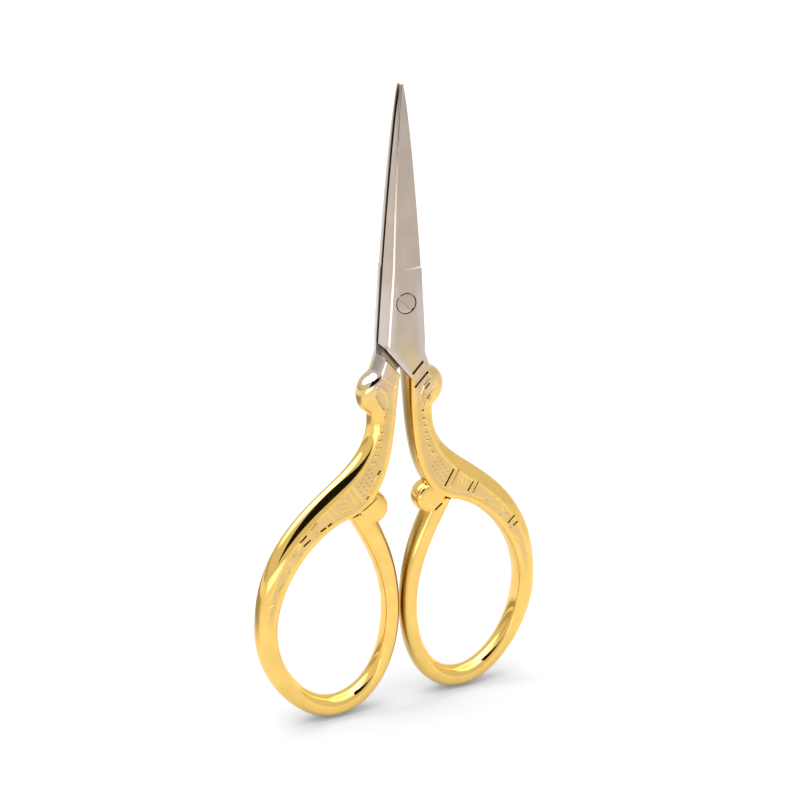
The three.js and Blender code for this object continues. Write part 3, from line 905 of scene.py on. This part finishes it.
def platingSurface():
    # roughness with smudges, and bumps: slow waves of polishing, grain in the field, streaks on the blades
    t = plating
    outputs = {"Roughness": "NodeSocketFloat", "Height": "NodeSocketFloat"}
    tree, given, made, place = newGroup("platingSurface", outputs)
    onBlade = between(tree, partsOf(tree, place)["Z"], *(height * mm for height in t["bladeFoot"]))
    smudge = between(tree, noise(tree, place, t["smudgeScale"], 4), *t["smudgeFrom"], 0, t["smudge"])
    rough = total(
        tree, t["polish"], smudge, times(tree, given["satin"], t["satin"]),
        times(tree, onBlade, t["brushed"]), times(tree, given["paintedShade"], t["shadedRough"]))
    waves = noise(tree, place, t["waveScale"], 1)
    grain = noise(tree, place, t["grainScale"])
    streaks = noise(tree, vectorMath(tree, "MULTIPLY", place, t["streakScale"]), 1, 3)
    height = total(
        tree, times(tree, waves, t["waves"]), times(tree, grain, given["satin"], t["grain"]),
        times(tree, streaks, onBlade, t["streaks"]))
    tree.links.new(rough, made["Roughness"])
    tree.links.new(height, made["Height"])
    return tree


def makePlating(name, groups):
    # metal whose colour, roughness and bumps come from the groups, which read the masks of the mesh
    material = bpy.data.materials.new(name)
    material.use_nodes = True
    tree = material.node_tree
    shader = tree.nodes["Principled BSDF"]
    shader.inputs["Metallic"].default_value = 1
    bump = tree.nodes.new("ShaderNodeBump")
    bump.inputs["Strength"].default_value = 1
    bump.inputs["Distance"].default_value = plating["relief"] * mm
    sockets = {"Colour": shader.inputs["Base Color"], "Roughness": shader.inputs["Roughness"],
               "Height": bump.inputs["Height"]}
    for group in groups:
        node = tree.nodes.new("ShaderNodeGroup")
        node.node_tree = group
        for mask in masks:
            attribute = tree.nodes.new("ShaderNodeAttribute")
            attribute.attribute_name = mask
            tree.links.new(attribute.outputs["Fac"], node.inputs[mask])
        for output in node.outputs:
            tree.links.new(output, sockets[output.name])
    tree.links.new(bump.outputs[0], shader.inputs["Normal"])
    return material


# studio: pale floor, white surround, a large soft lamp over the left and darkness round the camera
studio = {
    "floorReach": 4.0, "floorColour": 0.86, "floorGlow": 0.19, "fill": 0.72,
    "horizon": (0.6, 2.5),  # distances over which the floor turns white to the camera
    # the floor as the metal sees it: levels, and the distances between which they change
    "nearFloor": 0.96, "farFloor": 0.79, "farFrom": (0.05, 0.16),
    "leftFloor": 0.86, "leftFrom": (0.13, 0.2), "leftAt": -128, "leftCosines": (0.55, 0.95),
    "shadedFloor": 0.4, "shadedFrom": (0.035, 0.07), "shadedTo": (0.18, 0.12),
    "patch": 1.2, "patchAt": -38, "patchEdge": (22, 12), "patchFrom": (0.13, 0.2),  # bright strip in front
    # the room as the metal sees it: strengths, places and edges in degrees
    "surround": 0.8, "canopy": 4.0, "canopyAt": (-108, 52), "canopyEdge": (33, 11),
    "overCamera": 1.0, "overCameraAt": (-40, 68), "overCameraEdge": (32, 12),
    "zenith": 1.0, "zenithFrom": (0.65, 0.85),  # sines of the elevation
    "lowLeft": 0.4, "lowLeftFrom": (-165, -140), "lowLeftTo": (-85, -110), "lowLeftTop": (14, 3),  # dimmer
    "flagSeenFrom": (-9, -2, 36), "flagCorners": ((-43, 2), (-10.8, 21.5), (-36, 54), (-57, 54)),
    "flagColour": 0.012,
    "lampAway": 3.0, "lampSize": 3.0, "lampPower": 52, "lampAt": (-100, 78),
}


def towards(azimuth, elevation):
    # unit direction: azimuth from the front towards +X, elevation above the floor, in degrees
    turn, tilt = math.radians(azimuth), math.radians(elevation)
    return (math.sin(turn) * math.cos(tilt), -math.cos(turn) * math.cos(tilt), math.sin(tilt))


def turned(back, right, place):
    # matrix of a camera or lamp at a place, with its own Z along back and its X along right
    up = np.cross(back, right)
    return Matrix([[right[i], up[i], back[i], place[i]] for i in range(3)] + [[0, 0, 0, 1]])


def glow(tree, way, place, edge, strength):
    # round patch of light on directions: its strength within the inner edge, nothing past the outer one
    outer, inner = (math.cos(math.radians(angle)) for angle in edge)
    return between(tree, vectorMath(tree, "DOT_PRODUCT", way, towards(*place)), outer, inner, 0, strength)


def flatPiece(name, corners, material):
    # one flat face between its corners
    mesh = bpy.data.meshes.new(name)
    mesh.from_pydata(corners, [], [tuple(range(len(corners)))])
    mesh.materials.append(material)
    piece = bpy.data.objects.new(name, mesh)
    scene.collection.objects.link(piece)
    return piece


def floorInMetal(tree, place, far):
    # level of the floor in reflections: falls with distance, shaded on the left, with a bright strip in front
    s = studio
    unit = vectorMath(tree, "NORMALIZE", place)
    leftward = vectorMath(tree, "DOT_PRODUCT", unit, towards(s["leftAt"], 0))
    leftward = between(tree, leftward, *s["leftCosines"])
    plain = between(tree, far, *s["farFrom"], s["nearFloor"], s["farFloor"])
    farLeft = times(tree, leftward, between(tree, far, *s["leftFrom"]), s["leftFloor"] - s["farFloor"])
    band = times(tree, between(tree, far, *s["shadedFrom"]), between(tree, far, *s["shadedTo"]))
    shaded = times(tree, leftward, band, 1 - s["shadedFloor"])
    patch = glow(tree, unit, (s["patchAt"], 0), s["patchEdge"], s["patch"])
    patch = times(tree, patch, between(tree, far, *s["patchFrom"]))
    lit = times(tree, total(tree, plain, farLeft), calculate(tree, "SUBTRACT", 1, shaded))
    return total(tree, lit, patch)


def addFloor():
    # pale, a little brighter to the camera and white far off; the metal sees its own level of it
    material = bpy.data.materials.new("paleFloor")
    material.use_nodes = True
    tree = material.node_tree
    shader = tree.nodes["Principled BSDF"]
    shader.inputs["Roughness"].default_value = 0.9
    shader.inputs["Specular IOR Level"].default_value = 0.0
    shader.inputs["Emission Color"].default_value = (1, 1, 1, 1)
    path = tree.nodes.new("ShaderNodeLightPath").outputs
    place = tree.nodes.new("ShaderNodeTexCoord").outputs["Object"]
    far = vectorMath(tree, "LENGTH", place)
    change = calculate(tree, "SUBTRACT", floorInMetal(tree, place, far), 1)
    level = total(tree, times(tree, change, path["Is Glossy Ray"]), 1)
    grey = tree.nodes.new("ShaderNodeCombineColor")
    albedo = times(tree, level, studio["floorColour"])
    for channel in grey.inputs:
        tree.links.new(albedo, channel)
    tree.links.new(grey.outputs[0], shader.inputs["Base Color"])
    seen = calculate(tree, "MAXIMUM", path["Is Camera Ray"], path["Is Glossy Ray"])
    seen = calculate(tree, "MAXIMUM", seen, path["Is Transmission Ray"])
    white = between(tree, far, *studio["horizon"], 0, 1 - studio["fill"])
    horizon = times(tree, path["Is Camera Ray"], white)
    shine = total(tree, times(tree, seen, level, studio["floorGlow"]), horizon)
    tree.links.new(shine, shader.inputs["Emission Strength"])
    corners = np.array([(-1, -1, 0), (1, -1, 0), (1, 1, 0), (-1, 1, 0)]) * studio["floorReach"]
    floor = flatPiece("floor", corners.tolist(), material)


def addWorld():
    # white to the camera, even fill for the floor, and in the metal a pale room, bright over the left
    s = studio
    world = bpy.data.worlds.new("surround")
    scene.world = world
    world.use_nodes = True
    tree = world.node_tree
    shade = tree.nodes["Background"]
    shade.inputs["Color"].default_value = (1, 1, 1, 1)
    path = tree.nodes.new("ShaderNodeLightPath").outputs
    way = tree.nodes.new("ShaderNodeTexCoord").outputs["Generated"]
    parts = partsOf(tree, way)
    turn = calculate(tree, "ARCTAN2", parts["X"], times(tree, parts["Y"], -1))
    azimuth = calculate(tree, "DEGREES", turn)
    elevation = calculate(tree, "DEGREES", calculate(tree, "ARCSINE", parts["Z"]))
    room = total(
        tree, s["surround"], glow(tree, way, s["canopyAt"], s["canopyEdge"], s["canopy"]),
        glow(tree, way, s["overCameraAt"], s["overCameraEdge"], s["overCamera"]),
        between(tree, parts["Z"], *s["zenithFrom"], 0, s["zenith"]))
    lowLeft = times(
        tree, between(tree, azimuth, *s["lowLeftFrom"]), between(tree, azimuth, *s["lowLeftTo"]),
        between(tree, elevation, *s["lowLeftTop"]), s["lowLeft"])
    room = times(tree, room, calculate(tree, "SUBTRACT", 1, lowLeft))
    metal = times(tree, calculate(tree, "SUBTRACT", room, s["fill"]), path["Is Glossy Ray"])
    seen = calculate(tree, "MAXIMUM", path["Is Camera Ray"], path["Is Transmission Ray"])
    white = times(tree, seen, 1 - s["fill"])
    tree.links.new(total(tree, s["fill"], metal, white), shade.inputs["Strength"])


def addFlag():
    # black card at the camera's distance, which only the metal sees
    material = bpy.data.materials.new("blackCard")
    material.use_nodes = True
    shader = material.node_tree.nodes["Principled BSDF"]
    shader.inputs["Base Color"].default_value = (*[studio["flagColour"]] * 3, 1)
    shader.inputs["Specular IOR Level"].default_value = 0.0
    start = np.array(studio["flagSeenFrom"]) * mm
    back = np.array(scene.camera.matrix_world.col[2][:3])
    away = (np.array(scene.camera.matrix_world.translation) - start) @ back
    ways = [np.array(towards(*corner)) for corner in studio["flagCorners"]]
    flag = flatPiece("flag", [start + way * away / (way @ back) for way in ways], material)
    flag.visible_camera = False
    flag.visible_diffuse = False
    flag.visible_shadow = False
    flag.visible_transmission = False


def addLamp():
    # soft key from the upper left, which lights the floor; the metal sees the world's canopy instead
    light = bpy.data.lights.new("keyLamp", "AREA")
    light.shape = "SQUARE"
    light.size = studio["lampSize"]
    light.energy = studio["lampPower"]
    back = np.array(towards(*studio["lampAt"]))
    right = np.cross([0, 1, 0.01], back)  # from above, the square lies along X and Y
    right /= np.linalg.norm(right)
    lamp = bpy.data.objects.new("keyLamp", light)
    lamp.matrix_world = turned(back, right, back * studio["lampAway"])
    lamp.visible_glossy = False
    scene.collection.objects.link(lamp)


# camera at the photo's place: angles in degrees, lengths in metres, focal length and frame in pixels
view = {
    "azimuth": -24.92, "elevation": 20.87, "roll": 0.15, "distance": 0.21671,
    "aimAcross": 0.0001, "aimHeight": 0.04808, "focal": 1550, "frame": 800, "sensor": 36, "nearest": 0.005,
}


def addCamera():
    # looks at the aim from its azimuth and elevation, rolled about its own axis
    back = np.array(towards(view["azimuth"], view["elevation"]))
    turn, roll = math.radians(view["azimuth"]), math.radians(view["roll"])
    level = np.array([math.cos(turn), math.sin(turn), 0])
    right = level * math.cos(roll) + np.cross(back, level) * math.sin(roll)
    place = np.array([0, 0, view["aimHeight"]]) + back * view["distance"] + right * view["aimAcross"]
    lens = bpy.data.cameras.new("camera")
    lens.sensor_width = view["sensor"]
    lens.lens = view["sensor"] * view["focal"] / view["frame"]
    lens.clip_start = view["nearest"]
    camera = bpy.data.objects.new("camera", lens)
    camera.matrix_world = turned(back, right, place)
    scene.collection.objects.link(camera)
    scene.camera = camera


addCamera()
print("camera set")
front, rear = makeHalves()
print("halves made")
groups = (platingTone(), platingSurface())
dress(front, "frontHalf", "front_half", "front", makePlating("frontPlating", groups))
dress(rear, "rearHalf", "rear_half", "rear", makePlating("rearPlating", groups))
dress(makeScrew(), "pivotScrew", "pivot_screw", "rear", makePlating("screwPlating", groups))
print("pieces dressed")
addFloor()
addWorld()
addFlag()
addLamp()
scene.view_settings.view_transform = "Standard"
scene.cycles.caustics_reflective = False  # keeps the floor's shadow neutral
print("studio set")
